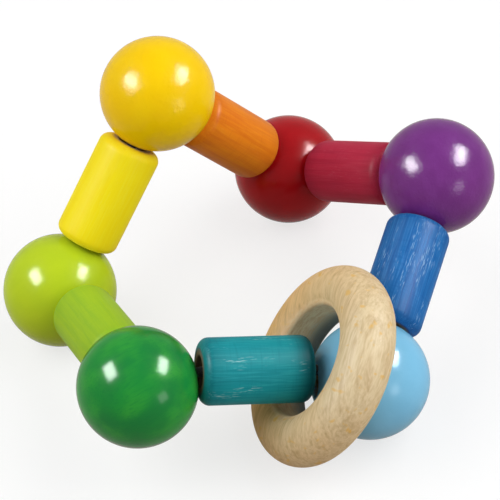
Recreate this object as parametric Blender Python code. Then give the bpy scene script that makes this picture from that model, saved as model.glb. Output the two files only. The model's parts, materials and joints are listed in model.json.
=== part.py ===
"""Grasping toy: six turned balls and six dowels threaded in turn on one elastic loop, with a loose wooden ring."""

import math

import bmesh
import bpy
from mathutils import Matrix, Vector

# Driving dimensions, in millimetres.
BALL_D = 25.0
BALL_BORE_D = 6.4
BALL_BORE_SINK = 0.3  # the countersink widens the mouth of a ball's bore by this much all round
ROD_D = 13.9
ROD_LENGTH = 24.3
ROD_EDGE = 2.0  # rounding of a rod's two rims
ROD_BORE_D = 6.4
CORD_D = 2.2
CORD_BEND = 3.0  # radius of the cord's bend at the middle of a ball
KNOT_D = 5.4
KNOT_LENGTH = 6.4
KNOT_FROM_CENTRE = 8.0  # middle of the knot, from the middle of the ball that hides it
RING_OD = 43.2
RING_ID = 24.0
RING_THICKNESS = 11.2
RING_BORE_CUT = 1.8  # least depth that the bore takes off the ring's round section
RING_BORE_EDGE = 1.4  # easing of the two edges of the bore
SEAT_GAP = 0.3  # between pieces that touch on the real toy
DRILL_OVERRUN = 4.0  # how far a drill stands out of a ball

# The loop at rest, in degrees. Red, light blue and lime stand on the table. Each ball between two of them
# spreads its rods by one angle and is lifted by another, from lying flat outside the three to standing upright.
YELLOW_SPREAD = 80.75
PURPLE_SPREAD = 97.8
GREEN_SPREAD = 100.25
YELLOW_LIFT = 88.6
PURPLE_LIFT = 37.5
GREEN_LIFT = 19.6
LOOP_HEADING = -81.4  # from the red ball to the light blue one, seen from above

# The ring stands on the table, leans on the light blue ball and props up the teal rod inside it.
RING_HEADING = 5.1  # way that the ring's axis faces, in degrees, seen from above
RING_DROP = 1.4  # the ring's axis passes this far below the ball's centre, in millimetres
RING_SHIFT = 0.45  # and this far behind it
TEAL_ROD_RISE = 3.6  # how far the ring pushes the teal rod off the line between its balls
TEAL_ROD_TRIM = 1.2  # cut shorter than the other rods by this much, it lies against the green ball
LEAF_ROD_SHIFT = 0.8  # how far the leaf green rod hangs inside the line between its balls
RING_STEP = 0.05  # by which the ring backs off until the cobalt rod leaves room for it
RING_PROBES = 180  # points round the ring at which that room is measured

# Facets.
BALL_SEGMENTS = 32
ROD_SEGMENTS = 28
BORE_SEGMENTS = 20
RING_SEGMENTS = 44
EDGE_STEPS = 3
RING_ROUND_STEPS = 4
RING_SIDE_STEPS = 2
RING_EDGE_STEPS = 3
BEND_STEPS = 5
CORD_BEVEL_RESOLUTION = 2
SMOOTH_ANGLE = 40.0

METRES = 0.001
UP = Vector((0.0, 0.0, 1.0))

# Balls in their order round the loop, each with its colour and the rod that leads on to the next ball.
LOOP = (
    ("yellow_ball", (0.90, 0.55, 0.00), "orange_rod", (0.80, 0.27, 0.02)),
    ("red_ball", (0.40, 0.01, 0.02), "crimson_rod", (0.40, 0.03, 0.07)),
    ("purple_ball", (0.22, 0.06, 0.28), "cobalt_rod", (0.02, 0.11, 0.42)),
    ("light_blue_ball", (0.16, 0.45, 0.75), "teal_rod", (0.01, 0.24, 0.28)),
    ("green_ball", (0.02, 0.28, 0.05), "leaf_green_rod", (0.30, 0.50, 0.04)),
    ("lime_ball", (0.42, 0.56, 0.03), "lemon_rod", (0.92, 0.68, 0.01)),
)
LACQUER_ROUGHNESS = 0.15
STAIN_ROUGHNESS = 0.35
BARE_WOOD = (0.58, 0.42, 0.24)
BARE_WOOD_ROUGHNESS = 0.6
ELASTIC = (0.03, 0.028, 0.03)
ELASTIC_ROUGHNESS = 0.8


def clear_scene():
    for item in list(bpy.data.objects):
        bpy.data.objects.remove(item)


def make_material(name, colour, roughness):
    material = bpy.data.materials.new(name)
    material.use_nodes = True
    shader = material.node_tree.nodes["Principled BSDF"]
    shader.inputs["Base Color"].default_value = (*colour, 1.0)
    shader.inputs["Roughness"].default_value = roughness
    shader.inputs["Metallic"].default_value = 0.0
    return material


# The loop at rest, worked out in millimetres.


def ball_seat():
    """From a ball's centre to the end of the rod that presses on the mouth of its bore."""
    mouth = BALL_BORE_D / 2 + BALL_BORE_SINK
    return math.sqrt((BALL_D / 2) ** 2 - mouth**2) + SEAT_GAP


def pitch():
    """From one ball's centre to the next."""
    return ROD_LENGTH + 2 * ball_seat()


def base_side(spread):
    """Between the two standing balls on either side of a lifted one."""
    return 2 * pitch() * math.sin(math.radians(spread) / 2)


def heading(degrees):
    angle = math.radians(degrees)
    return Vector((math.cos(angle), math.sin(angle), 0.0))


def lifted_ball(first, second, inside, spread, lift):
    """The ball that a rod joins to each of two standing balls, swung up about the line between them."""
    middle = (first + second) / 2
    outwards = (second - first).cross(UP).normalized()
    if outwards.dot(middle - inside) < 0:
        outwards.negate()
    reach = pitch() * math.cos(math.radians(spread) / 2)
    angle = math.radians(lift)
    return middle + reach * (math.cos(angle) * outwards + math.sin(angle) * UP)


def ball_centres():
    to_lime = base_side(YELLOW_SPREAD)
    to_blue = base_side(PURPLE_SPREAD)
    across = base_side(GREEN_SPREAD)
    corner = math.acos((to_lime**2 + to_blue**2 - across**2) / (2 * to_lime * to_blue))
    red = UP * (BALL_D / 2)
    blue = red + to_blue * heading(LOOP_HEADING)
    lime = red + to_lime * heading(LOOP_HEADING - math.degrees(corner))
    inside = (red + blue + lime) / 3
    return {
        "red_ball": red,
        "light_blue_ball": blue,
        "lime_ball": lime,
        "yellow_ball": lifted_ball(lime, red, inside, YELLOW_SPREAD, YELLOW_LIFT),
        "purple_ball": lifted_ball(red, blue, inside, PURPLE_SPREAD, PURPLE_LIFT),
        "green_ball": lifted_ball(blue, lime, inside, GREEN_SPREAD, GREEN_LIFT),
    }


def ring_core():
    """Radius of the circle at the middle of the ring's round outer half."""
    return (RING_OD - RING_THICKNESS) / 2


def ring_inner_core():
    """Radius of the circle that the ring's inner sides curve about. Only a broad ring has flats between the two."""
    return min(ring_core(), RING_ID / 2 + RING_THICKNESS / 2 - RING_BORE_CUT)


def ring_edge_core():
    """Radius and height of the circle at the middle of the easing of an edge of the ring's bore."""
    radius = RING_ID / 2 + RING_BORE_EDGE
    inset = ring_inner_core() - radius
    return radius, math.sqrt((RING_THICKNESS / 2 - RING_BORE_EDGE) ** 2 - inset**2)


def ring_lean(ball, along):
    """Centre and axis of the ring, with its foot on the table and its centre so far from a ball along its axis."""
    arm = math.hypot(along, ring_core() + RING_DROP)
    steepest = math.atan2(ring_core() + RING_DROP, along)
    tilt = steepest + math.asin((RING_THICKNESS / 2 - BALL_D / 2) / arm)
    facing = heading(RING_HEADING)
    axis = math.cos(tilt) * facing - math.sin(tilt) * UP
    up_the_ring = math.sin(tilt) * facing + math.cos(tilt) * UP
    behind = UP.cross(facing)
    return ball - along * axis - RING_DROP * up_the_ring + RING_SHIFT * behind, axis


def ring_to_rod(ring, axis, ball, direction):
    """Least gap between the ring and the rod that leads away from a ball in a direction."""
    spoke = axis.orthogonal().normalized() * ring_core()
    gaps = []
    for i in range(RING_PROBES):
        point = ring + Matrix.Rotation(2 * math.pi * i / RING_PROBES, 3, axis) @ spoke - ball
        up_rod = point.dot(direction)
        off_rod = (point - up_rod * direction).length
        short = max(ball_seat() + ROD_EDGE - up_rod, 0.0)
        wide = max(off_rod - ROD_D / 2 + ROD_EDGE, 0.0)
        gaps.append(math.hypot(short, wide) - ROD_EDGE - RING_THICKNESS / 2)
    return min(gaps)


def ring_place(ball, rod_direction):
    """Centre and axis of the ring. It leans on a standing ball, or on the rod above it if that comes first."""
    off_axis = math.hypot(RING_DROP, RING_SHIFT)
    edge_radius, edge_height = ring_edge_core()
    reach = RING_BORE_EDGE + BALL_D / 2 + SEAT_GAP
    along = edge_height + math.sqrt(reach**2 - (edge_radius - off_axis) ** 2)
    ring, axis = ring_lean(ball, along)
    while ring_to_rod(ring, axis, ball, rod_direction) < SEAT_GAP:
        along += RING_STEP
        ring, axis = ring_lean(ball, along)
    return ring, axis


def teal_rise(balls, ring, axis):
    """The teal rod's push off the line between its balls, within the room that the ring leaves it."""
    blue = balls["light_blue_ball"]
    direction = (balls["green_ball"] - blue).normalized()
    upwards = (UP - UP.dot(direction) * direction).normalized()
    edge_radius, edge_height = ring_edge_core()
    lean = (-axis).angle(direction)
    opening = edge_radius * math.cos(lean) - edge_height * math.sin(lean) - RING_BORE_EDGE
    play = opening - ROD_D / 2 - SEAT_GAP
    middle = (ring - blue).dot(upwards)
    return upwards * max(middle - play, min(TEAL_ROD_RISE, middle + play))


def leaf_shift(balls):
    """The leaf green rod's hang off the line between its balls, level and towards the inside of the loop."""
    return UP.cross(balls["green_ball"] - balls["lime_ball"]).normalized() * LEAF_ROD_SHIFT


def origin_shift(balls, ring, axis):
    """Moves the middle of the toy's box, on the table, to the origin."""
    low = Vector(min(ball[i] for ball in balls.values()) - BALL_D / 2 for i in range(3))
    high = Vector(max(ball[i] for ball in balls.values()) + BALL_D / 2 for i in range(3))
    for i in range(3):
        half = ring_core() * math.sqrt(1 - axis[i] ** 2) + RING_THICKNESS / 2
        low[i] = min(low[i], ring[i] - half)
        high[i] = max(high[i], ring[i] + half)
    return Vector((-(low.x + high.x) / 2, -(low.y + high.y) / 2, 0.0))


# Shapes.


def arc(centre, radius, start, end, steps):
    """Points of an arc in a profile's plane, with its ends, by angles in degrees."""
    angles = [math.radians(start + (end - start) * i / steps) for i in range(steps + 1)]
    return [(centre[0] + radius * math.cos(a), centre[1] + radius * math.sin(a)) for a in angles]


def turned_mesh(name, profile, segments, closed):
    """A profile of (radius, height) in millimetres, turned about Z. A closed one leaves its bore open."""
    mesh = bpy.data.meshes.new(name)
    form = bmesh.new()
    points = [form.verts.new((r * METRES, 0.0, h * METRES)) for r, h in profile]
    pairs = list(zip(points, points[1:] + points[:1])) if closed else list(zip(points, points[1:]))
    edges = [form.edges.new(pair) for pair in pairs]
    bmesh.ops.spin(
        form,
        geom=points + edges,
        cent=(0, 0, 0),
        axis=(0, 0, 1),
        angle=2 * math.pi,
        steps=segments,
        use_merge=True,
    )
    bmesh.ops.remove_doubles(form, verts=form.verts, dist=1e-6)
    bmesh.ops.recalc_face_normals(form, faces=form.faces)
    form.to_mesh(mesh)
    form.free()
    finish_mesh(mesh)
    return mesh


def finish_mesh(mesh):
    mesh.shade_smooth()
    mesh.set_sharp_from_angle(angle=math.radians(SMOOTH_ANGLE))


def ball_mesh():
    mesh = bpy.data.meshes.new("ball")
    form = bmesh.new()
    bmesh.ops.create_uvsphere(
        form, u_segments=BALL_SEGMENTS, v_segments=BALL_SEGMENTS // 2, radius=BALL_D / 2 * METRES
    )
    form.to_mesh(mesh)
    form.free()
    finish_mesh(mesh)
    return mesh


def drill_mesh():
    """A drill with a pointed end that just passes the ball's centre, and a countersink at the ball's surface."""
    bore = BALL_BORE_D / 2
    mouth = math.sqrt((BALL_D / 2) ** 2 - (bore + BALL_BORE_SINK) ** 2)
    sink_start = mouth - BALL_BORE_SINK
    top = BALL_D / 2 + DRILL_OVERRUN
    profile = [
        (0.0, top),
        (bore + top - sink_start, top),
        (bore, sink_start),
        (bore, 0.0),
        (0.0, -bore / 2),
    ]
    return turned_mesh("drill", profile, BORE_SEGMENTS, closed=False)


def rod_mesh(length):
    radius = ROD_D / 2
    half = length / 2
    bore = ROD_BORE_D / 2
    rim = radius - ROD_EDGE
    profile = [(bore, -half)]
    profile += arc((rim, ROD_EDGE - half), ROD_EDGE, -90, 0, EDGE_STEPS)
    profile += arc((rim, half - ROD_EDGE), ROD_EDGE, 0, 90, EDGE_STEPS)
    profile += [(bore, half)]
    return turned_mesh("rod", profile, ROD_SEGMENTS, closed=True)


def ring_mesh():
    """A round section whose inner side is cut flat by the bore."""
    edge_radius, edge_height = ring_edge_core()
    half = RING_THICKNESS / 2
    turn = math.degrees(math.atan2(edge_height, edge_radius - ring_inner_core()))
    upper = arc((ring_core(), 0.0), half, 0, 90, RING_ROUND_STEPS)
    upper += arc((ring_inner_core(), 0.0), half, 90, turn, RING_SIDE_STEPS)
    upper += arc((edge_radius, edge_height), RING_BORE_EDGE, turn, 180, RING_EDGE_STEPS)[1:]
    lower = [(radius, -height) for radius, height in reversed(upper[1:])]
    return turned_mesh("ring", upper + lower, RING_SEGMENTS, closed=True)


def rounded_corner(before, corner, after, radius):
    """Points of the bend that takes the place of a path's corner."""
    arrive = (before - corner).normalized()
    leave = (after - corner).normalized()
    half_angle = arrive.angle(leave) / 2
    inward = (arrive + leave).normalized()
    centre = corner + inward * (radius / math.sin(half_angle))
    start = corner + arrive * (radius / math.tan(half_angle))
    normal = (start - centre).cross(corner - centre).normalized()
    turn = math.pi - 2 * half_angle
    steps = range(BEND_STEPS + 1)
    return [centre + Matrix.Rotation(turn * i / BEND_STEPS, 3, normal) @ (start - centre) for i in steps]


def knot_points(ball, direction):
    """(point, thickness) pairs of three wraps pulled tight along the cord, away from a ball's centre."""
    swell = KNOT_D / CORD_D
    waist = (1 + 2 * swell) / 3
    wraps = [1.0, swell, waist, swell, waist, swell, 1.0]
    step = KNOT_LENGTH / (len(wraps) - 1)
    start = KNOT_FROM_CENTRE - KNOT_LENGTH / 2
    return [(ball + direction * (start + i * step), size) for i, size in enumerate(wraps)]


def cord_path(balls, order, teal_shift):
    """(point, thickness) pairs along the loop. In the teal rod the cord keeps half way up the rod's push."""
    corners = []
    for name, following in zip(order, order[1:] + order[:1]):
        corners.append((name, balls[name]))
        if name == "light_blue_ball":
            direction = (balls[following] - balls[name]).normalized()
            corners.append(("", balls[name] + direction * ball_seat() + teal_shift / 2))
            corners.append(("", balls[following] - direction * ball_seat() + teal_shift / 2))
    path = []
    for i, (name, corner) in enumerate(corners):
        before = corners[i - 1][1]
        after = corners[(i + 1) % len(corners)][1]
        bend = rounded_corner(before, corner, after, CORD_BEND) if name else [corner]
        if name == "light_blue_ball":
            path += reversed(knot_points(corner, (before - corner).normalized()))
        path += [(point, 1.0) for point in bend]
    return path


# Objects.


def add_object(name, data, material, parent, place, direction=UP):
    """Puts a piece, turned from Z to a direction, at a place given in millimetres."""
    piece = bpy.data.objects.new(name, data)
    bpy.context.collection.objects.link(piece)
    if material:
        data.materials.append(material)
    piece.parent = parent
    piece.rotation_mode = "QUATERNION"
    piece.rotation_quaternion = UP.rotation_difference(direction)
    piece.location = place * METRES - (parent.location if parent else Vector())
    return piece


def add_axis(name, first, second):
    """An empty half way between two balls, on the line that a lifted ball and its rods swing about."""
    axis = bpy.data.objects.new(name, None)
    bpy.context.collection.objects.link(axis)
    axis.location = (first + second) / 2 * METRES
    return axis


def drill_ball(ball, centre, direction, name):
    drill = add_object(name, drill_mesh(), None, None, centre, direction)
    drill.hide_render = True
    drill.display_type = "WIRE"
    cut = ball.modifiers.new(name, "BOOLEAN")
    cut.operation = "DIFFERENCE"
    cut.object = drill


def build_loop(balls, order, rod_shifts):
    """Balls and rods. A lifted ball and its two rods hang on the axis that they swing about together."""
    swings = {
        "yellow_ball": add_axis("yellow_swing", balls["lime_ball"], balls["red_ball"]),
        "purple_ball": add_axis("purple_swing", balls["red_ball"], balls["light_blue_ball"]),
        "green_ball": add_axis("green_swing", balls["light_blue_ball"], balls["lime_ball"]),
    }
    for i, (name, ball_colour, rod_name, rod_colour) in enumerate(LOOP):
        centre = balls[name]
        following = order[(i + 1) % len(order)]
        onward = (balls[following] - centre).normalized()
        back = (balls[order[i - 1]] - centre).normalized()
        lacquer = make_material(f"{name}_lacquer", ball_colour, LACQUER_ROUGHNESS)
        ball = add_object(name, ball_mesh(), lacquer, swings.get(name), centre, onward)
        drill_ball(ball, centre, onward, f"{name}_drill_onward")
        drill_ball(ball, centre, back, f"{name}_drill_back")
        stain = make_material(f"{rod_name}_stain", rod_colour, STAIN_ROUGHNESS)
        trim = TEAL_ROD_TRIM if rod_name == "teal_rod" else 0.0
        rod_centre = (centre + balls[following] + onward * trim) / 2 + rod_shifts.get(rod_name, Vector())
        swing = swings.get(name) or swings[following]
        add_object(rod_name, rod_mesh(ROD_LENGTH - trim), stain, swing, rod_centre, onward)
    return swings


def build_ring(place, axis, parent):
    wood = make_material("bare_wood", BARE_WOOD, BARE_WOOD_ROUGHNESS)
    add_object("wood_ring", ring_mesh(), wood, parent, place, axis)


def build_cord(path):
    curve = bpy.data.curves.new("elastic_cord", "CURVE")
    curve.dimensions = "3D"
    curve.bevel_depth = CORD_D / 2 * METRES
    curve.bevel_resolution = CORD_BEVEL_RESOLUTION
    spline = curve.splines.new("POLY")
    spline.points.add(len(path) - 1)
    for spot, (point, thickness) in zip(spline.points, path):
        spot.co = (*(point * METRES), 1.0)
        spot.radius = thickness
    spline.use_cyclic_u = True
    elastic = make_material("elastic", ELASTIC, ELASTIC_ROUGHNESS)
    add_object("elastic_cord", curve, elastic, None, Vector())


def build_toy():
    order = [entry[0] for entry in LOOP]
    balls = ball_centres()
    blue = balls["light_blue_ball"]
    ring, axis = ring_place(blue, (balls["purple_ball"] - blue).normalized())
    rod_shifts = {"teal_rod": teal_rise(balls, ring, axis), "leaf_green_rod": leaf_shift(balls)}
    shift = origin_shift(balls, ring, axis)
    balls = {name: centre + shift for name, centre in balls.items()}
    swings = build_loop(balls, order, rod_shifts)
    build_ring(ring + shift, axis, swings["green_ball"])
    build_cord(cord_path(balls, order, rod_shifts["teal_rod"]))


clear_scene()
build_toy()
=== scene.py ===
import json
import math

import bmesh
import bpy
import numpy as np
from mathutils import Euler, Matrix, Vector


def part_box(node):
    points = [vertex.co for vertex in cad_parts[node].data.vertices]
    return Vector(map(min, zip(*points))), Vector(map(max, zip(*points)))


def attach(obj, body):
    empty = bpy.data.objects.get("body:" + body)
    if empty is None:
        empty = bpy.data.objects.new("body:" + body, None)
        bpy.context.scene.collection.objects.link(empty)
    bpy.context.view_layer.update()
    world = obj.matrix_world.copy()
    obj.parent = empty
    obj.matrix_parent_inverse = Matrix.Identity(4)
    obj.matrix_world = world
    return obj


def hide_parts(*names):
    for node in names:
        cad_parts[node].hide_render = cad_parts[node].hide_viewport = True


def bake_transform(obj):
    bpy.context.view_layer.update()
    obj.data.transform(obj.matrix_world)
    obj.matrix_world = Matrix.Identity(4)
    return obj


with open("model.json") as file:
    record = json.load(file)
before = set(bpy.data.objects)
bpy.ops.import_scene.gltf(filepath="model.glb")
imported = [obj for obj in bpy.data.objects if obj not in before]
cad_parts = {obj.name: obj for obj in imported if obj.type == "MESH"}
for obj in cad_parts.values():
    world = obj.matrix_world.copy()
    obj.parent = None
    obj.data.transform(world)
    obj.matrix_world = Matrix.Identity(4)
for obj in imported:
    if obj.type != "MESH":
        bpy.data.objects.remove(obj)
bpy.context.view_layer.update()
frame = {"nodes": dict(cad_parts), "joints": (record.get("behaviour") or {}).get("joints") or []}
mm = 0.001
joints = {joint["name"]: joint for joint in frame["joints"]}


# Small helpers

def linear(code):
    # sRGB hex to the linear colour that a shader socket takes
    parts = [int(code[i:i + 2], 16) / 255 for i in (1, 3, 5)]
    return [p / 12.92 if p <= 0.04045 else ((p + 0.055) / 1.055) ** 2.4 for p in parts] + [1]


def perMm(*sizes):
    # texture scale from the real size of a pattern, in millimetres
    return [1 / (size * mm) for size in sizes]


def addNode(tree, kind, inputs=None, **settings):
    # a shader node with its settings; an input is a value, a socket or another node
    made = tree.nodes.new("ShaderNode" + kind)
    for name, value in settings.items():
        setattr(made, name, value)
    live = [socket for socket in made.inputs if socket.enabled]
    for key, value in (inputs or {}).items():
        socket = live[key] if isinstance(key, int) else next(s for s in live if s.name == key)
        if isinstance(value, bpy.types.Node):
            value = next(s for s in value.outputs if s.enabled)
        if isinstance(value, bpy.types.NodeSocket):
            tree.links.new(value, socket)
        else:
            socket.default_value = value
    return made


def newMaterial(name, fixed):
    # a Principled material; what is the same all over goes straight on its sockets
    material = bpy.data.materials.new(name)
    material.use_nodes = True
    shader = material.node_tree.nodes["Principled BSDF"]
    for key, value in fixed.items():
        shader.inputs[key].default_value = value
    return material, material.node_tree, shader


def wire(tree, shader, **sockets):
    for name, node in sockets.items():
        output = next(s for s in node.outputs if s.enabled)
        tree.links.new(output, shader.inputs[name.replace("_", " ")])


def nodePoints(node):
    mesh = frame["nodes"][node].data
    points = np.empty(len(mesh.vertices) * 3, np.float32)
    mesh.vertices.foreach_get("co", points)
    return points.reshape(-1, 3).astype(float)


def arc(centre, radius, fromDeg, toDeg, steps):
    angles = np.radians(np.linspace(fromDeg, toDeg, steps + 1))
    return [(centre[0] + radius * math.cos(a), centre[1] + radius * math.sin(a)) for a in angles]


def revolve(profile, segments, closed=True):
    # turns a profile of (radius, height) about Z; a point on the axis becomes one vertex
    points, rings, faces = [], [], []
    for radius, height in profile:
        count = segments if radius > 0 else 1
        rings.append([len(points) + i for i in range(count)])
        turns = [2 * math.pi * i / count for i in range(count)]
        points += [(radius * math.cos(a), radius * math.sin(a), height) for a in turns]
    pairs = list(zip(rings, rings[1:])) + ([(rings[-1], rings[0])] if closed else [])
    for lower, upper in pairs:
        for i in range(segments):
            j = (i + 1) % segments
            corners = [lower[i % len(lower)], lower[j % len(lower)],
                       upper[j % len(upper)], upper[i % len(upper)]]
            faces.append(list(dict.fromkeys(corners)))
    return points, faces


def meshObject(name, points, faces):
    mesh = bpy.data.meshes.new(name)
    mesh.from_pydata([tuple(p) for p in points], [], faces)
    piece = bpy.data.objects.new(name, mesh)
    bpy.context.scene.collection.objects.link(piece)
    return piece


def layDown(piece, lie, centre):
    # turns the mesh itself, so that the object's own box stays square to the frame
    piece.data.transform(lie)
    piece.location = centre


def grainPlace(tree, lie):
    # texture place in a piece's own axes, with Z along its grain
    whole = addNode(tree, "TexCoord").outputs["Object"]
    return addNode(tree, "Mapping", {"Vector": whole, "Rotation": lie.inverted().to_euler()})


def smooth(piece, sharpDeg=35):
    piece.data.shade_smooth()
    piece.data.set_sharp_from_angle(angle=math.radians(sharpDeg))


def faceTheOutside(piece):
    shape = bmesh.new()
    shape.from_mesh(piece.data)
    bmesh.ops.recalc_face_normals(shape, faces=shape.faces)
    shape.to_mesh(piece.data)
    shape.free()


def paint(piece, outer, inner, isInner):
    # outer finish all over, and the inner one on faces that a test on their middle picks out
    piece.data.materials.append(outer)
    piece.data.materials.append(inner)
    for face in piece.data.polygons:
        face.material_index = int(isInner(face.center))


def dress(piece, node, body=None):
    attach(piece, body or node)
    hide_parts(node)


# Balls

ballShape = {
    "gridSteps": 32,       # faces along each side of the cube that is blown up to a ball
    "lip": 0.5 * mm,       # rounding at each bore's mouth
    "lipSteps": 4,
    "boreSegments": 56,
    "spare": 2 * mm,       # how far the drill stands out of the ball
    "inset": 0.05 * mm,    # keeps the round ball inside the box of its faceted solid
    "skin": 0.08 * mm,     # faces that lie deeper than this belong to a bore
}

# dye colours; mottle is the size of the cloudy patches across the grain in mm, and figure how strongly they
# show; grit is the size of the lacquer's grains in mm and peel their relief; shine is how much the lacquer
# mirrors, gloss its roughness and haze what dull patches add to that; grain is the way the fibres lie, as
# turns about X, Y and Z in degrees
ballLooks = {
    "yellow_ball": {"dye": "#f8cc00", "deep": "#f4c201", "pale": "#fad107", "figure": 0.35, "mottle": 8,
                    "grit": 0.75, "peel": 0.095, "shine": 0.13, "gloss": 0.14, "haze": 0.04,
                    "grain": (35, 20, 10)},
    "red_ball": {"dye": "#ad0e17", "deep": "#a00b14", "pale": "#b4151c", "figure": 0.5, "mottle": 6,
                 "grit": 0.7, "peel": 0.012, "shine": 0.15, "gloss": 0.17, "haze": 0.03,
                 "grain": (10, 60, 0)},
    "purple_ball": {"dye": "#733080", "deep": "#6b2a78", "pale": "#7a3788", "figure": 0.5, "mottle": 5,
                    "grit": 0.65, "peel": 0.075, "shine": 0.2, "gloss": 0.15, "haze": 0.02,
                    "grain": (-25, 30, 50)},
    "light_blue_ball": {"dye": "#7cc0e4", "deep": "#76bbe0", "pale": "#82c5e8", "figure": 0.5,
                        "mottle": 7, "grit": 0.7, "peel": 0.01, "shine": 0.16, "gloss": 0.16,
                        "haze": 0.04, "grain": (20, -30, 0)},
    "green_ball": {"dye": "#1d8d36", "deep": "#117339", "pale": "#35a036", "figure": 0.6, "mottle": 10,
                   "grit": 0.7, "peel": 0.004, "shine": 0.15, "gloss": 0.16, "haze": 0.02,
                   "grain": (-20, 75, 0)},
    "lime_ball": {"dye": "#bad222", "deep": "#b4ce24", "pale": "#bfd526", "figure": 0.5, "mottle": 6,
                  "grit": 0.7, "peel": 0.03, "shine": 0.13, "gloss": 0.15, "haze": 0.03,
                  "grain": (30, 50, 20)},
}

# raw wood of the bores; dyed is how far from the ball's middle the dye that ran in sets in and is full
boreLook = {"dark": "#8f7657", "pale": "#c3a67f", "dyed": (12.2 * mm, 13.2 * mm)}

# dowels at each ball, in the order of the loop
dowelsAt = {
    "yellow_ball": ("lemon_rod", "orange_rod"),
    "red_ball": ("orange_rod", "crimson_rod"),
    "purple_ball": ("crimson_rod", "cobalt_rod"),
    "light_blue_ball": ("cobalt_rod", "teal_rod"),
    "green_ball": ("teal_rod", "leaf_green_rod"),
    "lime_ball": ("leaf_green_rod", "lemon_rod"),
}
loopOrder = list(dowelsAt)


def ballCentre(node):
    low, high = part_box(node)
    return (low + high) / 2


def boreWays(node):
    # directions of a ball's two bores, which run towards its neighbours on the loop
    at = loopOrder.index(node)
    neighbours = [loopOrder[at - 1], loopOrder[(at + 1) % len(loopOrder)]]
    return [(ballCentre(other) - ballCentre(node)).normalized() for other in neighbours]


def boreRadius():
    turn = joints["orange_spin"]
    away = nodePoints("orange_rod") - np.array(turn["pos_m"])
    axis = np.array(turn["axis"])
    return float(np.linalg.norm(away - np.outer(away @ axis, axis), axis=1).min())


def lacqueredBeech(name, look, lie):
    # Turned beech, dyed and dipped in clear lacquer. The eye gets a deep even colour with soft clouds where
    # the dye sank in, faint fibres, and small hard highlights that the lacquer's grains break up.
    material, tree, shader = newMaterial(name, {"IOR": 1.5, "Specular IOR Level": look["shine"]})
    place = grainPlace(tree, lie)
    cloudSize = np.multiply(look["mottle"], (1, 1, 1.6))
    wide = addNode(tree, "Mapping", {"Vector": place, "Scale": perMm(*cloudSize)})
    clouds = addNode(tree, "TexNoise", {"Vector": wide, "Scale": 1, "Detail": 2, "Roughness": 0.45})
    blotSize = np.multiply(look["mottle"], (0.5, 0.5, 0.7))
    small = addNode(tree, "Mapping", {"Vector": place, "Scale": perMm(*blotSize)})
    blots = addNode(tree, "TexNoise", {"Vector": small, "Scale": 1, "Detail": 3, "Roughness": 0.45})
    fine = addNode(tree, "Mapping", {"Vector": place, "Scale": perMm(0.35, 0.35, 4)})
    fibres = addNode(tree, "TexNoise", {"Vector": fine, "Scale": 1, "Detail": 1})

    soaked = addNode(tree, "MapRange", {"Value": clouds, "From Min": 0.6, "From Max": 0.3,
                                        "To Max": look["figure"]}, interpolation_type="SMOOTHSTEP")
    thin = addNode(tree, "MapRange", {"Value": blots, "From Min": 0.4, "From Max": 0.75,
                                      "To Max": look["figure"]}, interpolation_type="SMOOTHSTEP")
    dark = addNode(tree, "MapRange", {"Value": fibres, "From Min": 0.5, "From Max": 0.7,
                                      "To Max": 0.5 * look["figure"]})
    colour = linear(look["dye"])
    for share, dye in ((soaked, "deep"), (thin, "pale"), (dark, "deep")):
        colour = addNode(tree, "Mix", {"Factor": share, "A": colour, "B": linear(look[dye])},
                         data_type="RGBA")

    rubbed = addNode(tree, "TexNoise", {"Vector": place, "Scale": perMm(4)[0], "Detail": 2})
    gloss = addNode(tree, "MapRange", {"Value": rubbed, "From Min": 0.45, "From Max": 0.6,
                                       "To Min": look["gloss"], "To Max": look["gloss"] + look["haze"]})
    grains = addNode(tree, "TexNoise", {"Vector": place, "Scale": perMm(look["grit"])[0], "Detail": 2,
                                        "Roughness": 0.6})
    skin = addNode(tree, "Bump", {"Height": grains, "Distance": look["peel"] * mm, "Strength": 1.0})
    wire(tree, shader, Base_Color=colour, Roughness=gloss, Normal=skin)
    return material


def boredBeech(name, look, lie):
    # A bore through the ball: raw drilled beech, dull, with dye that ran in over the lip.
    material, tree, shader = newMaterial(name, {"IOR": 1.45, "Specular IOR Level": 0.3})
    place = grainPlace(tree, lie)
    cut = addNode(tree, "Mapping", {"Vector": place, "Scale": perMm(0.6, 0.6, 2.5)})
    fibres = addNode(tree, "TexNoise", {"Vector": cut, "Scale": 1, "Detail": 4, "Roughness": 0.65})
    wood = addNode(tree, "Mix", {"Factor": fibres, "A": linear(boreLook["dark"]),
                                 "B": linear(boreLook["pale"])}, data_type="RGBA")
    depth = addNode(tree, "VectorMath", {0: place}, operation="LENGTH")
    ragged = addNode(tree, "Math", {0: fibres, 1: 2.4 * mm, 2: depth}, operation="MULTIPLY_ADD")
    setsIn, full = boreLook["dyed"]
    ran = addNode(tree, "MapRange", {"Value": ragged, "From Min": setsIn, "From Max": full})
    colour = addNode(tree, "Mix", {"Factor": ran, "A": wood, "B": linear(look["dye"])}, data_type="RGBA")
    dull = addNode(tree, "MapRange", {"Value": fibres, "To Min": 0.6, "To Max": 0.85})
    rough = addNode(tree, "Bump", {"Height": fibres, "Distance": 0.06 * mm, "Strength": 1.0})
    wire(tree, shader, Base_Color=colour, Roughness=dull, Normal=rough)
    return material


def drillBit(ballRadius, way):
    # bore from the ball's middle out through its lip, along a direction in the ball's own axes
    bore, lip = boreRadius(), ballShape["lip"]
    mouth = math.sqrt(ballRadius ** 2 - bore ** 2) - lip
    flare = arc((bore + lip, mouth), lip, 180, 90, ballShape["lipSteps"])
    top = ballRadius + ballShape["spare"]
    profile = [(0, 0), (bore, 0)] + flare + [(bore + 2 * lip, top), (0, top)]
    points, faces = revolve(profile, ballShape["boreSegments"], closed=False)
    bit = meshObject("drillBit", points, faces)
    bit.data.transform(way.to_track_quat("Z", "Y").to_matrix().to_4x4())
    faceTheOutside(bit)
    return bit


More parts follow.
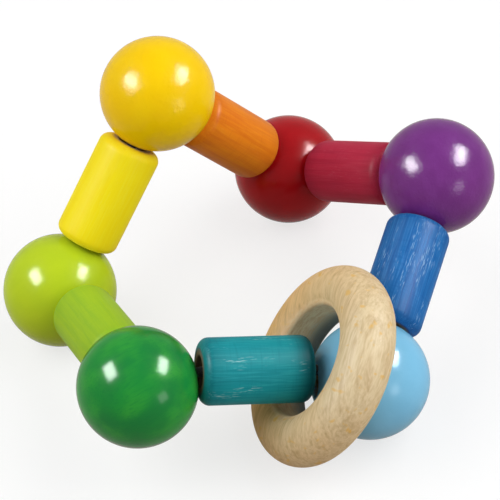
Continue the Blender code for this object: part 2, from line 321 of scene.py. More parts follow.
def makeBall(node):
    look = ballLooks[node]
    name = node.replace("_ball", "Ball").replace("light_blue", "lightBlue")
    points = nodePoints(node)
    centre = ballCentre(node)
    radius = float(np.linalg.norm(points - np.array(centre), axis=1).max()) - ballShape["inset"]
    lie = Euler([math.radians(angle) for angle in look["grain"]]).to_matrix()

    # a cube cut into a grid and blown up, so that no pole shows
    shape = bmesh.new()
    bmesh.ops.create_cube(shape, size=2)
    bmesh.ops.subdivide_edges(shape, edges=shape.edges, cuts=ballShape["gridSteps"] - 1, use_grid_fill=True)
    for vert in shape.verts:
        even = Vector([math.tan(c * math.pi / 4) for c in vert.co])
        vert.co = even.normalized() * radius
    mesh = bpy.data.meshes.new(name)
    shape.to_mesh(mesh)
    shape.free()
    piece = bpy.data.objects.new(name, mesh)
    bpy.context.scene.collection.objects.link(piece)

    bits = [drillBit(radius, way) for way in boreWays(node)]
    for bit in bits:
        cut = piece.modifiers.new("bore", "BOOLEAN")
        cut.object, cut.operation, cut.solver = bit, "DIFFERENCE", "EXACT"
    solved = piece.evaluated_get(bpy.context.evaluated_depsgraph_get())
    piece.data = bpy.data.meshes.new_from_object(solved)
    piece.modifiers.clear()
    for bit in bits:
        bpy.data.objects.remove(bit)
    piece.data.materials.clear()
    outer = lacqueredBeech("lacqueredBeech." + name, look, lie)
    inner = boredBeech("boredBeech." + name, look, lie)
    paint(piece, outer, inner, lambda middle: middle.length < radius - ballShape["skin"])
    smooth(piece)
    piece.location = centre
    dress(piece, node)
    return piece


balls = {node: makeBall(node) for node in ballLooks}
print("balls:", len(balls), "lacquered beech balls, drilled")


# Dowels

dowelShape = {
    "edge": 2.0 * mm,      # rounding of the rims
    "edgeSteps": 10,
    "boreEdge": 0.35 * mm,
    "boreEdgeSteps": 4,
    "sideSteps": 12,
    "faceSteps": 3,
    "segments": 96,
    "endStainAndShade": (-5.5 * mm, 0.4 * mm),      # from each end, where its darker end, partly stain and partly painted shade, sets in and where it is full
    "rubbed": (-0.7 * mm, 0.5 * mm),    # the same for its paler rim
    "uneven": 0.8 * mm,    # how ragged the fibres make both
    "creep": 0.15 * mm,    # how far the bare end goes onto the rounded rim
}

greySawn = ("#66543f", "#9c8467")    # end grain, its dark and its pale, on most of the dowels

# stain colours, dark being that of the ends; sawn is the bare end grain, ends how far the two ends go over
# to dark, which is partly stain and partly painted shade, and turn the dowel's turn on the cord in degrees;
# streak is how wide the stain's light and dark bands are in mm and figure how strongly they show; lines is
# how strongly the fine fibres show; the painted highlight, a colour and a strength, is short bright dashes
# that stand for light caught on raised fibres; dashes is the least height of those fibres and clump the
# least of their clusters, both on a scale of 0 to 1; raised is their relief in mm; shine is how much the
# sealer mirrors and gloss its roughness
dowelLooks = {
    "orange_rod": {"dye": "#ec881c", "deep": "#d96b17", "pale": "#f29b22", "paintedHighlight": "#f3b45c",
                   "dark": "#b8520f", "sawn": greySawn, "ends": (0.2, 0.2), "turn": 0, "streak": 1.6,
                   "figure": 0.6, "lines": 0.5, "paintedHighlightStrength": 0.1, "dashes": 0.6, "clump": 0.5,
                   "raised": 0.006, "shine": 0.06, "gloss": 0.36},
    "crimson_rod": {"dye": "#ba2947", "deep": "#a8213e", "pale": "#be3a54", "paintedHighlight": "#cc687c",
                    "dark": "#6f1428", "sawn": greySawn, "ends": (0.3, 0.3), "turn": 40, "streak": 1.3,
                    "figure": 0.6, "lines": 0.5, "paintedHighlightStrength": 0.2, "dashes": 0.6, "clump": 0.5,
                    "raised": 0.008, "shine": 0.07, "gloss": 0.48},
    "cobalt_rod": {"dye": "#1d69ad", "deep": "#13549a", "pale": "#3a82c4", "paintedHighlight": "#93bce2",
                   "dark": "#0d3f78", "sawn": greySawn, "ends": (0.3, 0.3), "turn": 10, "streak": 0.8,
                   "figure": 0.8, "lines": 0.7, "paintedHighlightStrength": 0.6, "dashes": 0.57, "clump": 0.5,
                   "raised": 0.014, "shine": 0.07, "gloss": 0.44},
    # the teal dowel's second end goes fully dark: painted shade where the ring shades it
    "teal_rod": {"dye": "#1a8f98", "deep": "#107884", "pale": "#2ba1a7", "paintedHighlight": "#a2d2d4",
                 "dark": "#04424a", "sawn": greySawn, "ends": (0.35, 1.0), "turn": 75, "streak": 1.2,
                 "figure": 0.6, "lines": 0.6, "paintedHighlightStrength": 0.6, "dashes": 0.59, "clump": 0.61,
                 "raised": 0.01, "shine": 0.06, "gloss": 0.4},
    "leaf_green_rod": {"dye": "#9dc12b", "deep": "#88b52f", "pale": "#acc82f", "paintedHighlight": "#c5d569",
                       "dark": "#5f8f22", "sawn": ("#7a6a48", "#b09a6c"), "ends": (0.1, 0.1), "turn": 0,
                       "streak": 1.1, "figure": 0.5, "lines": 0.5, "paintedHighlightStrength": 0.1, "dashes": 0.6,
                       "clump": 0.5, "raised": 0.006, "shine": 0.05, "gloss": 0.42},
    "lemon_rod": {"dye": "#ffea1a", "deep": "#fde20e", "pale": "#ffef3c", "paintedHighlight": "#fff380",
                  "dark": "#e0b80a", "sawn": ("#a8915c", "#d6c492"), "ends": (0.1, 0.1), "turn": 20,
                  "streak": 1.6, "figure": 0.5, "lines": 0.4, "paintedHighlightStrength": 0.1, "dashes": 0.6, "clump": 0.5,
                  "raised": 0.005, "shine": 0.06, "gloss": 0.42},
}


def dowelSizes(node):
    turn = joints[node.replace("_rod", "_spin")]
    origin, axis = np.array(turn["pos_m"]), np.array(turn["axis"])
    away = nodePoints(node) - origin
    along = away @ axis
    reach = np.linalg.norm(away - np.outer(along, axis), axis=1)
    centre = Vector(origin + axis * (along.max() + along.min()) / 2)
    return {"centre": centre, "axis": Vector(axis).normalized(), "length": float(np.ptp(along)),
            "radius": float(reach.max()), "bore": float(reach.min())}


dowels = {node: dowelSizes(node) for node in dowelLooks}


def stainedDowel(name, look, size, lie):
    # Birch dowel, stained and sealed with a thin satin coat. The eye gets lengthwise bands of stain, fine
    # fibres, painted highlights as short bright dashes that stand for light caught on raised fibres, and a
    # faint mark of sanding round it. Fibres and dashes are drawn two or three times as wide as real ones, to
    # show.
    material, tree, shader = newMaterial(name, {"IOR": 1.5, "Specular IOR Level": look["shine"]})
    place = grainPlace(tree, lie)
    long = addNode(tree, "Mapping", {"Vector": place, "Scale": perMm(look["streak"], look["streak"], 22)})
    bands = addNode(tree, "TexNoise", {"Vector": long, "Scale": 1, "Detail": 2, "Roughness": 0.55})
    fine = addNode(tree, "Mapping", {"Vector": place, "Scale": perMm(0.36, 0.36, 7)})
    fibres = addNode(tree, "TexNoise", {"Vector": fine, "Scale": 1, "Detail": 2, "Roughness": 0.6})
    short = addNode(tree, "Mapping", {"Vector": place, "Scale": perMm(0.24, 0.24, 1.8)})
    dashes = addNode(tree, "TexNoise", {"Vector": short, "Scale": 1, "Detail": 1})
    patch = addNode(tree, "Mapping", {"Vector": place, "Scale": perMm(2.6, 2.6, 12)})
    patches = addNode(tree, "TexNoise", {"Vector": patch, "Scale": 1, "Detail": 1})
    across = addNode(tree, "Mapping", {"Vector": place, "Scale": perMm(5, 5, 0.4)})
    sanding = addNode(tree, "TexNoise", {"Vector": across, "Scale": 1, "Detail": 2})

    soaked = addNode(tree, "MapRange", {"Value": bands, "From Min": 0.58, "From Max": 0.36,
                                        "To Max": look["figure"]})
    light = addNode(tree, "MapRange", {"Value": fibres, "From Min": 0.48, "From Max": 0.7,
                                       "To Max": look["lines"]})
    scuffed = addNode(tree, "MapRange", {"Value": sanding, "From Min": 0.52, "From Max": 0.72,
                                         "To Max": 0.5 * look["lines"]})
    dashEdge, clumpEdge = 0.12, 0.08    # how softly the painted highlight dashes and their clusters fade in
    bare = addNode(tree, "MapRange", {"Value": dashes, "From Min": look["dashes"],
                                      "From Max": look["dashes"] + dashEdge, "To Max": look["paintedHighlightStrength"]})
    where = addNode(tree, "MapRange", {"Value": patches, "From Min": look["clump"],
                                       "From Max": look["clump"] + clumpEdge})
    # painted highlight: pale dashes put into the colour where light would catch raised fibres
    paintedHighlightMask = addNode(tree, "Math", {0: bare, 1: where}, operation="MULTIPLY")
    layers = [(soaked, "deep"), (light, "pale"), (scuffed, "deep"), (paintedHighlightMask, "paintedHighlight")]

    # the ends are darker, partly stain soaked in and partly painted shade, most at the teal dowel's end by
    # the ring; the rims are rubbed a little paler
    apart = addNode(tree, "SeparateXYZ", {"Vector": place})
    rim, uneven = size["length"] / 2, dowelShape["uneven"]
    setsIn, full = dowelShape["endStainAndShade"]
    for sign, share in zip((1, -1), look["ends"]):
        height = addNode(tree, "Math", {0: apart.outputs["Z"], 1: sign}, operation="MULTIPLY")
        ragged = addNode(tree, "Math", {0: fibres, 1: uneven, 2: height}, operation="MULTIPLY_ADD")
        endStainAndShadeMask = addNode(tree, "MapRange", {"Value": ragged, "From Min": rim + setsIn,
                                           "From Max": rim + full, "To Max": share},
                        interpolation_type="SMOOTHSTEP")
        layers.append((endStainAndShadeMask, "dark"))
    height = addNode(tree, "Math", {0: apart.outputs["Z"]}, operation="ABSOLUTE")
    ragged = addNode(tree, "Math", {0: fibres, 1: uneven, 2: height}, operation="MULTIPLY_ADD")
    setsIn, full = dowelShape["rubbed"]
    rubbed = addNode(tree, "MapRange", {"Value": ragged, "From Min": rim + setsIn,
                                        "From Max": rim + full, "To Max": 0.4})
    layers.append((rubbed, "pale"))
    colour = linear(look["dye"])
    for share, stain in layers:
        colour = addNode(tree, "Mix", {"Factor": share, "A": colour, "B": linear(look[stain])},
                         data_type="RGBA")

    satin = addNode(tree, "MapRange", {"Value": fibres, "From Min": 0.3, "From Max": 0.7,
                                       "To Min": look["gloss"] - 0.06, "To Max": look["gloss"] + 0.1})
    ridge = addNode(tree, "Bump", {"Height": fibres, "Distance": look["raised"] * mm, "Strength": 1.0})
    relief = addNode(tree, "Bump", {"Height": dashes, "Distance": look["raised"] * mm, "Strength": 1.0,
                                    "Normal": ridge})
    wire(tree, shader, Base_Color=colour, Roughness=satin, Normal=relief)
    return material


def bareEndGrain(name, look, size, lie):
    # Sawn end of the dowel and its bore: bare wood, grey-brown to straw and dull, with stain that crept
    # over the rim.
    material, tree, shader = newMaterial(name, {"IOR": 1.45, "Specular IOR Level": 0.3})
    place = grainPlace(tree, lie)
    cells = addNode(tree, "TexNoise", {"Vector": place, "Scale": perMm(0.35)[0], "Detail": 3,
                                       "Roughness": 0.7})
    flat = addNode(tree, "VectorMath", {0: place, 1: (1, 1, 0)}, operation="MULTIPLY")
    reach = addNode(tree, "VectorMath", {0: flat}, operation="LENGTH")
    dark, pale = look["sawn"]
    wood = addNode(tree, "Mix", {"Factor": cells, "A": linear(dark), "B": linear(pale)}, data_type="RGBA")
    ragged = addNode(tree, "Math", {0: cells, 1: 1.6 * mm, 2: reach}, operation="MULTIPLY_ADD")
    edge = size["radius"] - dowelShape["edge"]
    crept = addNode(tree, "MapRange", {"Value": ragged, "From Min": edge, "From Max": edge + 0.9 * mm})
    colour = addNode(tree, "Mix", {"Factor": crept, "A": wood, "B": linear(look["deep"])}, data_type="RGBA")
    dull = addNode(tree, "MapRange", {"Value": cells, "To Min": 0.65, "To Max": 0.9})
    sawn = addNode(tree, "Bump", {"Height": cells, "Distance": 0.05 * mm, "Strength": 1.0})
    wire(tree, shader, Base_Color=colour, Roughness=dull, Normal=sawn)
    return material


def dowelProfile(size):
    half, edge, boreEdge = size["length"] / 2, dowelShape["edge"], dowelShape["boreEdge"]
    rim = size["radius"] - edge
    mouth = size["bore"] + boreEdge
    face = [(r, half) for r in np.linspace(rim, mouth, dowelShape["faceSteps"] + 1)[1:]]
    lip = arc((mouth, half - boreEdge), boreEdge, 90, 180, dowelShape["boreEdgeSteps"])[1:]
    upper = arc((rim, half - edge), edge, 0, 90, dowelShape["edgeSteps"]) + face + lip
    lower = [(r, -h) for r, h in reversed(upper)]
    heights = np.linspace(edge - half, half - edge, dowelShape["sideSteps"] + 1)[1:-1]
    return lower + [(size["radius"], h) for h in heights] + upper


def makeDowel(node):
    look, size = dowelLooks[node], dowels[node]
    name = node.replace("_rod", "Rod").replace("leaf_green", "leafGreen")
    points, faces = revolve(dowelProfile(size), dowelShape["segments"])
    turned = Matrix.Rotation(math.radians(look["turn"]), 3, "Z")
    lie = size["axis"].to_track_quat("Z", "Y").to_matrix() @ turned
    piece = meshObject(name, points, faces)
    faceTheOutside(piece)
    outer = stainedDowel("stainedBirch." + name, look, size, lie)
    inner = bareEndGrain("bareEndGrain." + name, look, size, lie)
    rim = size["radius"] - dowelShape["edge"]
    paint(piece, outer, inner, lambda middle: math.hypot(middle.x, middle.y) < rim + dowelShape["creep"])
    smooth(piece)
    layDown(piece, lie.to_4x4(), size["centre"])
    dress(piece, node)
    return piece


rods = {node: makeDowel(node) for node in dowelLooks}
print("dowels:", len(rods), "stained dowels")


# Ring

ringLook = {
    "sap": "#ddc9a1", "heart": "#deb378", "fibre": "#a98550", "fleck": "#dcab42",
    # wall and wallDeep are paler than the wood, painted light for the light that reaches into the bore; the
    # last colour is painted shade on the bore's far half
    "wall": "#ffe2b8", "wallDeep": "#eec494", "boreShade": "#807c70",
    "boreCut": 1.8 * mm,   # least depth that the bore takes off the round section
    "easing": 1.4 * mm,    # eased edges of the bore
    "inset": 0.02 * mm,    # keeps the round ring inside the box of its faceted solid
    "sapSide": (0.5, -0.65, 0.57),    # way towards the paler edge of the plank that it was cut from
    "waver": 30 * mm,                 # how far the growth shifts the border between heartwood and sapwood
    "border": (-4 * mm, 34 * mm),     # where heartwood ends and sapwood is full, with that shift added
    "tornEdge": (1.5 * mm, 0.3 * mm),    # how far outside the bore its torn wood sets in and is full
    "boreShadeReach": (0.2 * mm, 4 * mm),      # along the axis, where the painted shade on the bore's far half sets in and is full
    "patchy": 2 * mm,                    # how far the torn fibres shift that painted shade
    "segments": 168, "roundSteps": 28, "sideSteps": 12, "edgeSteps": 8, "wallSteps": 10,
}


def bareMaple(name, look, lie, bore):
    # Maple ring, turned and sanded, with no finish. The eye gets a pale matte wood, darker on its heartwood
    # side, with wavy growth lines, fine fibres, a few honey flecks where rays are cut, and a speckled bore
    # where the drill tore the end grain, painted paler than the wood and darkened on its far half by painted
    # shade.
    material, tree, shader = newMaterial(name, {"IOR": 1.45, "Specular IOR Level": 0.2})
    place = grainPlace(tree, lie)
    wide = addNode(tree, "Mapping", {"Vector": place, "Scale": perMm(26, 8, 8)})
    growth = addNode(tree, "TexNoise", {"Vector": wide, "Scale": 1, "Detail": 2, "Roughness": 0.5})
    fine = addNode(tree, "Mapping", {"Vector": place, "Scale": perMm(4, 0.55, 0.55)})
    fibres = addNode(tree, "TexNoise", {"Vector": fine, "Scale": 1, "Detail": 2, "Roughness": 0.6})
    curled = addNode(tree, "Mapping", {"Vector": place, "Scale": perMm(9, 1.3, 1.9)})
    lines = addNode(tree, "TexNoise", {"Vector": curled, "Scale": 1, "Detail": 3, "Roughness": 0.6,
                                       "Distortion": 0.9})
    rays = addNode(tree, "Mapping", {"Vector": place, "Scale": perMm(1.6, 2.6, 1.4)})
    flecks = addNode(tree, "TexNoise", {"Vector": rays, "Scale": 1, "Detail": 1})

    apart = addNode(tree, "SeparateXYZ", {"Vector": place})
    wavy = addNode(tree, "Math", {0: growth, 1: look["waver"], 2: apart.outputs["Y"]},
                   operation="MULTIPLY_ADD")
    heartEnds, sapFull = look["border"]
    soft = addNode(tree, "MapRange", {"Value": wavy, "From Min": heartEnds, "From Max": sapFull})
    thread = addNode(tree, "MapRange", {"Value": fibres, "From Min": 0.42, "From Max": 0.8, "To Max": 0.4})
    late = addNode(tree, "MapRange", {"Value": lines, "From Min": 0.48, "From Max": 0.72, "To Max": 0.5})
    spot = addNode(tree, "MapRange", {"Value": flecks, "From Min": 0.65, "From Max": 0.75, "To Max": 0.6})
    colour = linear(look["heart"])
    for share, wood in ((soft, "sap"), (thread, "fibre"), (late, "fibre"), (spot, "fleck")):
        colour = addNode(tree, "Mix", {"Factor": share, "A": colour, "B": linear(look[wood])},
                         data_type="RGBA")

    # the torn bore, with tool marks round it and painted shade on its far half, takes over softly at its
    # edges
    marks = addNode(tree, "Mapping", {"Vector": place, "Scale": perMm(2.4, 2.4, 0.5)})
    torn = addNode(tree, "TexNoise", {"Vector": marks, "Scale": 1, "Detail": 3, "Roughness": 0.7})
    speck = addNode(tree, "MapRange", {"Value": torn, "From Min": 0.42, "From Max": 0.62})
    # wall colours paler than the wood: painted light inside the bore
    wall = addNode(tree, "Mix", {"Factor": speck, "A": linear(look["wallDeep"]), "B": linear(look["wall"])},
                   data_type="RGBA")
    patchy = addNode(tree, "Math", {0: torn, 1: look["patchy"], 2: apart.outputs["Z"]},
                     operation="MULTIPLY_ADD")
    setsIn, full = look["boreShadeReach"]
    paintedBoreShade = addNode(tree, "MapRange", {"Value": patchy, "From Min": setsIn, "From Max": full},
                    interpolation_type="SMOOTHSTEP")
    wall = addNode(tree, "Mix", {"Factor": paintedBoreShade, "A": wall, "B": linear(look["boreShade"])}, data_type="RGBA")
    flat = addNode(tree, "VectorMath", {0: place, 1: (1, 1, 0)}, operation="MULTIPLY")
    reach = addNode(tree, "VectorMath", {0: flat}, operation="LENGTH")
    ragged = addNode(tree, "Math", {0: torn, 1: 0.6 * mm, 2: reach}, operation="MULTIPLY_ADD")
    setsIn, full = look["tornEdge"]
    inside = addNode(tree, "MapRange", {"Value": ragged, "From Min": bore + setsIn, "From Max": bore + full})
    colour = addNode(tree, "Mix", {"Factor": inside, "A": colour, "B": wall}, data_type="RGBA")

    matte = addNode(tree, "MapRange", {"Value": fibres, "From Min": 0.3, "From Max": 0.7,
                                       "To Min": 0.5, "To Max": 0.68})
    sanded = addNode(tree, "Bump", {"Height": fibres, "Distance": 0.008 * mm, "Strength": 1.0})
    rough = addNode(tree, "Bump", {"Height": torn, "Distance": 0.04 * mm, "Strength": inside,
                                   "Normal": sanded})
    wire(tree, shader, Base_Color=colour, Roughness=matte, Normal=rough)
    return material


def makeRing(node="wood_ring", look=ringLook):
    points = nodePoints(node)
    centre = points.mean(axis=0)
    axis = np.linalg.svd(points - centre, full_matrices=False)[2][2]
    axis *= np.sign(axis[0])
    along = (points - centre) @ axis
    reach = np.linalg.norm(points - centre - np.outer(along, axis), axis=1)
    section = float(np.ptp(along)) / 2 - look["inset"]
    core = float(reach.max()) - section - look["inset"]
    bore, easing = float(reach.min()), look["easing"]

    # a round section cut flat by the bore, with the two edges eased
    innerCore = min(core, bore + section - look["boreCut"])
    inward = innerCore - bore - easing
    easeHeight = math.sqrt((section - easing) ** 2 - inward ** 2)
    cutAngle = math.degrees(math.atan2(easeHeight, -inward))
    upper = arc((core, 0), section, 0, 90, look["roundSteps"])[1:]
    upper += arc((innerCore, 0), section, 90, cutAngle, look["sideSteps"])[1:]
    upper += arc((bore + easing, easeHeight), easing, cutAngle, 180, look["edgeSteps"])[1:]
    lower = [(r, -h) for r, h in reversed(upper)]
    wall = [(bore, h) for h in np.linspace(easeHeight, -easeHeight, look["wallSteps"] + 1)[1:-1]]
    points, faces = revolve([(core + section, 0)] + upper + wall + lower, look["segments"])

    # Z along the ring's axis, Y towards the sapwood
    sideways = Vector(axis).cross(look["sapSide"]).normalized()
    lie = Matrix((-sideways, Vector(axis).cross(-sideways), Vector(axis))).transposed()
    piece = meshObject("woodRing", points, faces)
    faceTheOutside(piece)
    piece.data.materials.append(bareMaple("bareMaple.ring", look, lie, bore))
    smooth(piece)
    layDown(piece, lie.to_4x4(), Vector(centre))
    dress(piece, node)
    return piece


makeRing()
print("ring: bare maple, bored")


# Elastic cord

cordLook = {
    "diameter": 2.2 * mm, "bend": 3.0 * mm,    # bend is the radius of each turn inside a ball
    "step": 0.3 * mm, "sides": 24,
    "plaits": 4, "plaitLength": 3.2 * mm,    # how many go round the cord, and the pitch of each
    "relief": 0.09,        # depth of the braid as a share of the cord's radius
    "cornerSteps": 12,
    "straight": 89,        # half the angle of a corner, in degrees, above which it needs no arc
    "cover": "#3b393b", "shade": "#232224",
    "grip": 4 * mm,        # how far inside a ball's bore the cord already moves with the ball
    "give": 6 * mm,        # length at a dowel's far end that a raised ball's cord leaves as a stretch of its own
}
knotLook = {"diameter": 5.4 * mm, "length": 6.4 * mm, "fromCentre": 8.0 * mm, "wraps": 3, "strand": 1.8 * mm,
            "stepsPerWrap": 40}


def braidedElastic(name, look):
    # Rubber core in a braided textile cover. The eye gets soft charcoal yarn, darker between the plaits.
    material, tree, shader = newMaterial(name, {"IOR": 1.45, "Sheen Weight": 0.25, "Sheen Roughness": 0.5})
    place = addNode(tree, "TexCoord").outputs["Object"]
    yarn = addNode(tree, "TexNoise", {"Vector": place, "Scale": perMm(0.25)[0], "Detail": 2})
    hairs = addNode(tree, "MapRange", {"Value": yarn, "From Min": 0.35, "From Max": 0.6})
    colour = addNode(tree, "Mix", {"Factor": hairs, "A": linear(look["shade"]), "B": linear(look["cover"])},
                     data_type="RGBA")
    dull = addNode(tree, "MapRange", {"Value": yarn, "To Min": 0.75, "To Max": 0.95})
    fuzz = addNode(tree, "Bump", {"Height": yarn, "Distance": 0.03 * mm, "Strength": 1.0})
    wire(tree, shader, Base_Color=colour, Roughness=dull, Normal=fuzz)
    return material


def roundCorner(before, corner, after, radius):
    # arc that takes a sharp corner of the cord's way
    arrive, leave = (before - corner).normalized(), (after - corner).normalized()
    half = arrive.angle(leave) / 2
    if math.degrees(half) > cordLook["straight"]:
        return [corner]
    centre = corner + (arrive + leave).normalized() * (radius / math.sin(half))
    start = corner + arrive * (radius / math.tan(half)) - centre
    axis = start.cross(corner - centre).normalized()
    steps = cordLook["cornerSteps"]
    turns = [(math.pi - 2 * half) * i / steps for i in range(steps + 1)]
    return [centre + Matrix.Rotation(turn, 3, axis) @ start for turn in turns]


def cordWay(corners, radius, step):
    # corners rounded, then points a steady step apart
    way = [corners[0]]
    for before, corner, after in zip(corners, corners[1:], corners[2:]):
        way += roundCorner(before, corner, after, radius)
    way.append(corners[-1])
    way = np.array([tuple(p) for p in way])
    run = np.concatenate([[0], np.cumsum(np.linalg.norm(np.diff(way, axis=0), axis=1))])
    at = np.linspace(0, run[-1], max(3, round(run[-1] / step) + 1))
    return np.stack([np.interp(at, run, way[:, i]) for i in range(3)], axis=1)


def braidTube(name, way, diameter, material, look=cordLook):
    # tube along the way whose skin rises and falls with two crossing sets of plaits
    ahead = np.gradient(way, axis=0)
    ahead /= np.linalg.norm(ahead, axis=1)[:, None]
    side = Vector(ahead[0]).orthogonal().normalized()
    run = np.concatenate([[0], np.cumsum(np.linalg.norm(np.diff(way, axis=0), axis=1))])
    turns = np.linspace(0, 2 * math.pi, look["sides"], endpoint=False)
    points = []
    for i, middle in enumerate(way):
        along = Vector(ahead[i])
        side = (side - along * side.dot(along)).normalized()
        across = along.cross(side)
        twist = 2 * math.pi * run[i] / look["plaitLength"]
        weave = np.cos(look["plaits"] * turns + twist) * np.cos(look["plaits"] * turns - twist)
        reach = diameter / 2 * (1 - look["relief"] + look["relief"] * weave)
        points += [Vector(middle) + (side * math.cos(a) + across * math.sin(a)) * r
                   for a, r in zip(turns, reach)]
    count = look["sides"]
    faces = [list(range(count))[::-1], list(range(len(points) - count, len(points)))]
    for ringStart in range(0, len(points) - count, count):
        for i in range(count):
            j = (i + 1) % count
            faces.append([ringStart + i, ringStart + j, ringStart + count + j, ringStart + count + i])
    piece = meshObject(name, points, faces)
    faceTheOutside(piece)
    piece.data.materials.append(material)
    smooth(piece, sharpDeg=60)
    return piece


def dowelEnd(node, ball, near=True):
    # end of a dowel's axis that faces a ball, or the far one
    size = dowels[node]
    ends = [size["centre"] + size["axis"] * size["length"] / 2 * sign for sign in (1, -1)]
    ends.sort(key=lambda end: (end - ballCentre(ball)).length)
    return ends[0] if near else ends[1]


def makeCord(look=cordLook):
    elastic = braidedElastic("braidedElastic.cord", look)
    made = []

    def lay(name, way):
        piece = braidTube(name, way, look["diameter"], elastic)
        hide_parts("elastic_cord")
        made.append(piece)
        return piece

    for ball, (first, second) in dowelsAt.items():
        label = ball.replace("_ball", "").replace("light_blue", "lightBlue")
        label = label[0].upper() + label[1:]
        corners = [dowelEnd(first, ball), ballCentre(ball), dowelEnd(second, ball)]
        if ball in ("yellow_ball", "purple_ball", "green_ball"):
            # a raised ball swings with its two dowels, so the cord through all three is one stretch
            ends = []
            for dowel in (first, second):
                far = dowelEnd(dowel, ball, near=False)
                tail = far + (dowelEnd(dowel, ball) - far).normalized() * look["give"]
                if dowel in dowelsAt["light_blue_ball"]:
                    ends.append(far)
                    continue
                # the last stretch, laid on its own from the tail to the dowel's far end
                ends.append(tail)
                name = "cordEnd" + dowel.replace("_rod", "").title().replace("_", "")
                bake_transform(lay(name, cordWay([tail, far], look["bend"], look["step"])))
            corners = ends[:1] + corners + ends[1:]
            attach(lay("cordThrough" + label, cordWay(corners, look["bend"], look["step"])), ball)
            continue
        # a low ball: the cord runs in from each dowel and meets itself in the middle
        way = cordWay(corners, look["bend"], look["step"])
        middle = len(way) // 2
        for part, dowel, run in (("In", first, way[:middle + 1]), ("Out", second, way[middle:][::-1])):
            piece = lay("cord" + label + part, run)
            start = dowelEnd(dowel, ball)
            if ball == "light_blue_ball":
                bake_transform(piece)
            else:
                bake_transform(piece)

    # three tight wraps where the loop is tied off, inside the light-blue ball
    ball, knot = "light_blue_ball", knotLook
    way = (dowelEnd("cobalt_rod", ball) - ballCentre(ball)).normalized()
    side = way.orthogonal().normalized()
    wrapRadius = (knot["diameter"] - knot["strand"]) / 2
    turns = np.linspace(0, 2 * math.pi * knot["wraps"], knot["stepsPerWrap"] * knot["wraps"])
    first = knot["fromCentre"] - (knot["length"] - knot["strand"]) / 2
    rise = (knot["length"] - knot["strand"]) / turns[-1]
    helix = [ballCentre(ball) + way * (first + rise * t) + Matrix.Rotation(t, 3, way) @ side * wrapRadius
             for t in turns]
    piece = braidTube("cordKnot", np.array([tuple(p) for p in helix]), knot["strand"], elastic)
    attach(piece, ball)
    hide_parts("elastic_cord")
    made.append(piece)
    return made


cord = makeCord()
print("cord:", len(cord), "stretches of braided elastic")


# Studio

studio = {
    "floorSize": 12, "paper": "#ffffff", "paperGlow": 0.7, "paperBounce": "#9c8c7e",
    "roomLight": 0.21, "sheen": 0.45,    # sheen is how white the studio is in reflections
    "middle": (0, 0, 0.025),    # what the lamps point at
}
# direction towards each lamp and how far off it hangs in metres, its width and height as seen from the toy
# in degrees, and its power in watts; a lamp lights either the colours or the gloss, and no two share a
# plane, where a ray would find only one of them
lamps = {
    "softBoxLeft": {"towards": (-0.726, -0.034, 0.686), "away": 0.8, "wide": 60, "tall": 56, "power": 5.1,
                    "gloss": False},
    "softBoxRight": {"towards": (0.745, -0.026, 0.665), "away": 0.8, "wide": 60, "tall": 56, "power": 5.8,
                     "gloss": False},
    "fillLow": {"towards": (0.654, -0.742, 0.129), "away": 0.8, "wide": 40, "tall": 40, "power": 2.2,
                "gloss": False},
    "fillLeft": {"towards": (-0.72, -0.66, 0.22), "away": 0.8, "wide": 40, "tall": 40, "power": 0.5,
                 "gloss": False},
    "gleamLeft": {"towards": (-0.713, -0.109, 0.692), "away": 0.45, "wide": 29, "tall": 18, "power": 6.2,
                  "gloss": True},
    "gleamRight": {"towards": (0.745, -0.026, 0.665), "away": 0.45, "wide": 31, "tall": 16.5, "power": 6.4,
                   "gloss": True},
    "gleamLow": {"towards": (0.654, -0.742, 0.129), "away": 0.45, "wide": 16, "tall": 16, "power": 0.38,
                 "gloss": True},
}


def whiteWhereSeen(tree):
    # 1 for rays from the camera, a part of that in reflections, 0 for the light that falls on the toy
    path = addNode(tree, "LightPath")
    plain = addNode(tree, "Math", {0: path.outputs["Is Camera Ray"], 1: path.outputs["Is Transmission Ray"]},
                    operation="MAXIMUM")
    return addNode(tree, "Math", {0: path.outputs["Is Glossy Ray"], 1: studio["sheen"], 2: plain},
                   operation="MULTIPLY_ADD")


def seamlessPaper(name):
    # White paper sweep: it shows white with the toy's soft shadow, and throws back only a little light.
    material, tree, shader = newMaterial(name, {"Base Color": linear(studio["paper"]), "Roughness": 0.9,
                                                "Specular IOR Level": 0.0})
    glow = addNode(tree, "Emission", {"Color": (1, 1, 1, 1), "Strength": 1.0})
    shown = addNode(tree, "MixShader", {0: studio["paperGlow"], 1: shader.outputs["BSDF"], 2: glow})
    dim = addNode(tree, "BsdfDiffuse", {"Color": linear(studio["paperBounce"])})
    both = addNode(tree, "MixShader", {0: whiteWhereSeen(tree), 1: dim, 2: shown})
    tree.links.new(both.outputs["Shader"], tree.nodes["Material Output"].inputs["Surface"])
    return material


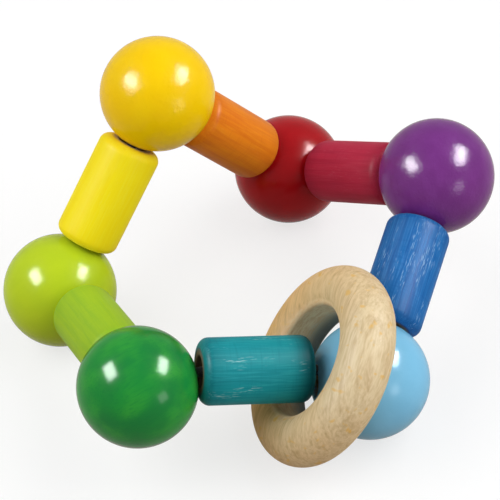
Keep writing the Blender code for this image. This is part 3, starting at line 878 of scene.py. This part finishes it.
def makeStudio():
    half = studio["floorSize"] / 2
    corners = [(-half, -half, 0), (half, -half, 0), (half, half, 0), (-half, half, 0)]
    floor = meshObject("paperFloor", corners, [[0, 1, 2, 3]])
    floor.data.materials.append(seamlessPaper("seamlessPaper"))

    # white room to look at, softer light from it
    world = bpy.data.worlds.new("room")
    bpy.context.scene.world = world
    world.use_nodes = True
    tree = world.node_tree
    level = addNode(tree, "MapRange", {"Value": whiteWhereSeen(tree), "To Min": studio["roomLight"],
                                       "To Max": 1.0})
    tree.links.new(level.outputs["Result"], tree.nodes["Background"].inputs["Strength"])
    tree.nodes["Background"].inputs["Color"].default_value = (1, 1, 1, 1)

    for name, lamp in lamps.items():
        light = bpy.data.lights.new(name, "AREA")
        light.shape = "RECTANGLE"
        light.size = 2 * lamp["away"] * math.tan(math.radians(lamp["wide"] / 2))
        light.size_y = 2 * lamp["away"] * math.tan(math.radians(lamp["tall"] / 2))
        light.energy = lamp["power"]
        holder = bpy.data.objects.new(name, light)
        bpy.context.scene.collection.objects.link(holder)
        towards = Vector(lamp["towards"]).normalized()
        holder.rotation_euler = towards.to_track_quat("Z", "Y").to_euler()
        holder.location = Vector(studio["middle"]) + towards * lamp["away"]
        holder.visible_camera = False
        holder.visible_diffuse = not lamp["gloss"]
        holder.visible_glossy = lamp["gloss"]


makeStudio()

# fitted to the photograph: place in metres, angles in degrees, lens and sensor in mm
photoCamera = {"place": (0.000455, -0.376345, 0.34203), "lookDown": 40.19, "roll": -6.04,
               "lens": 165.33, "sensor": 36, "sees": (0.01, 50)}

camera = bpy.data.cameras.new("photoCamera")
camera.lens, camera.sensor_width = photoCamera["lens"], photoCamera["sensor"]
camera.clip_start, camera.clip_end = photoCamera["sees"]    # nearest and farthest, in metres
cameraObject = bpy.data.objects.new("photoCamera", camera)
bpy.context.scene.collection.objects.link(cameraObject)
pitch = Matrix.Rotation(math.radians(90 - photoCamera["lookDown"]), 4, "X")
roll = Matrix.Rotation(math.radians(photoCamera["roll"]), 4, "Z")
cameraObject.matrix_world = Matrix.Translation(photoCamera["place"]) @ pitch @ roll
bpy.context.scene.camera = cameraObject
bpy.context.scene.view_settings.view_transform = "Standard"
print("studio: paper floor,", len(lamps), "lamps, camera")
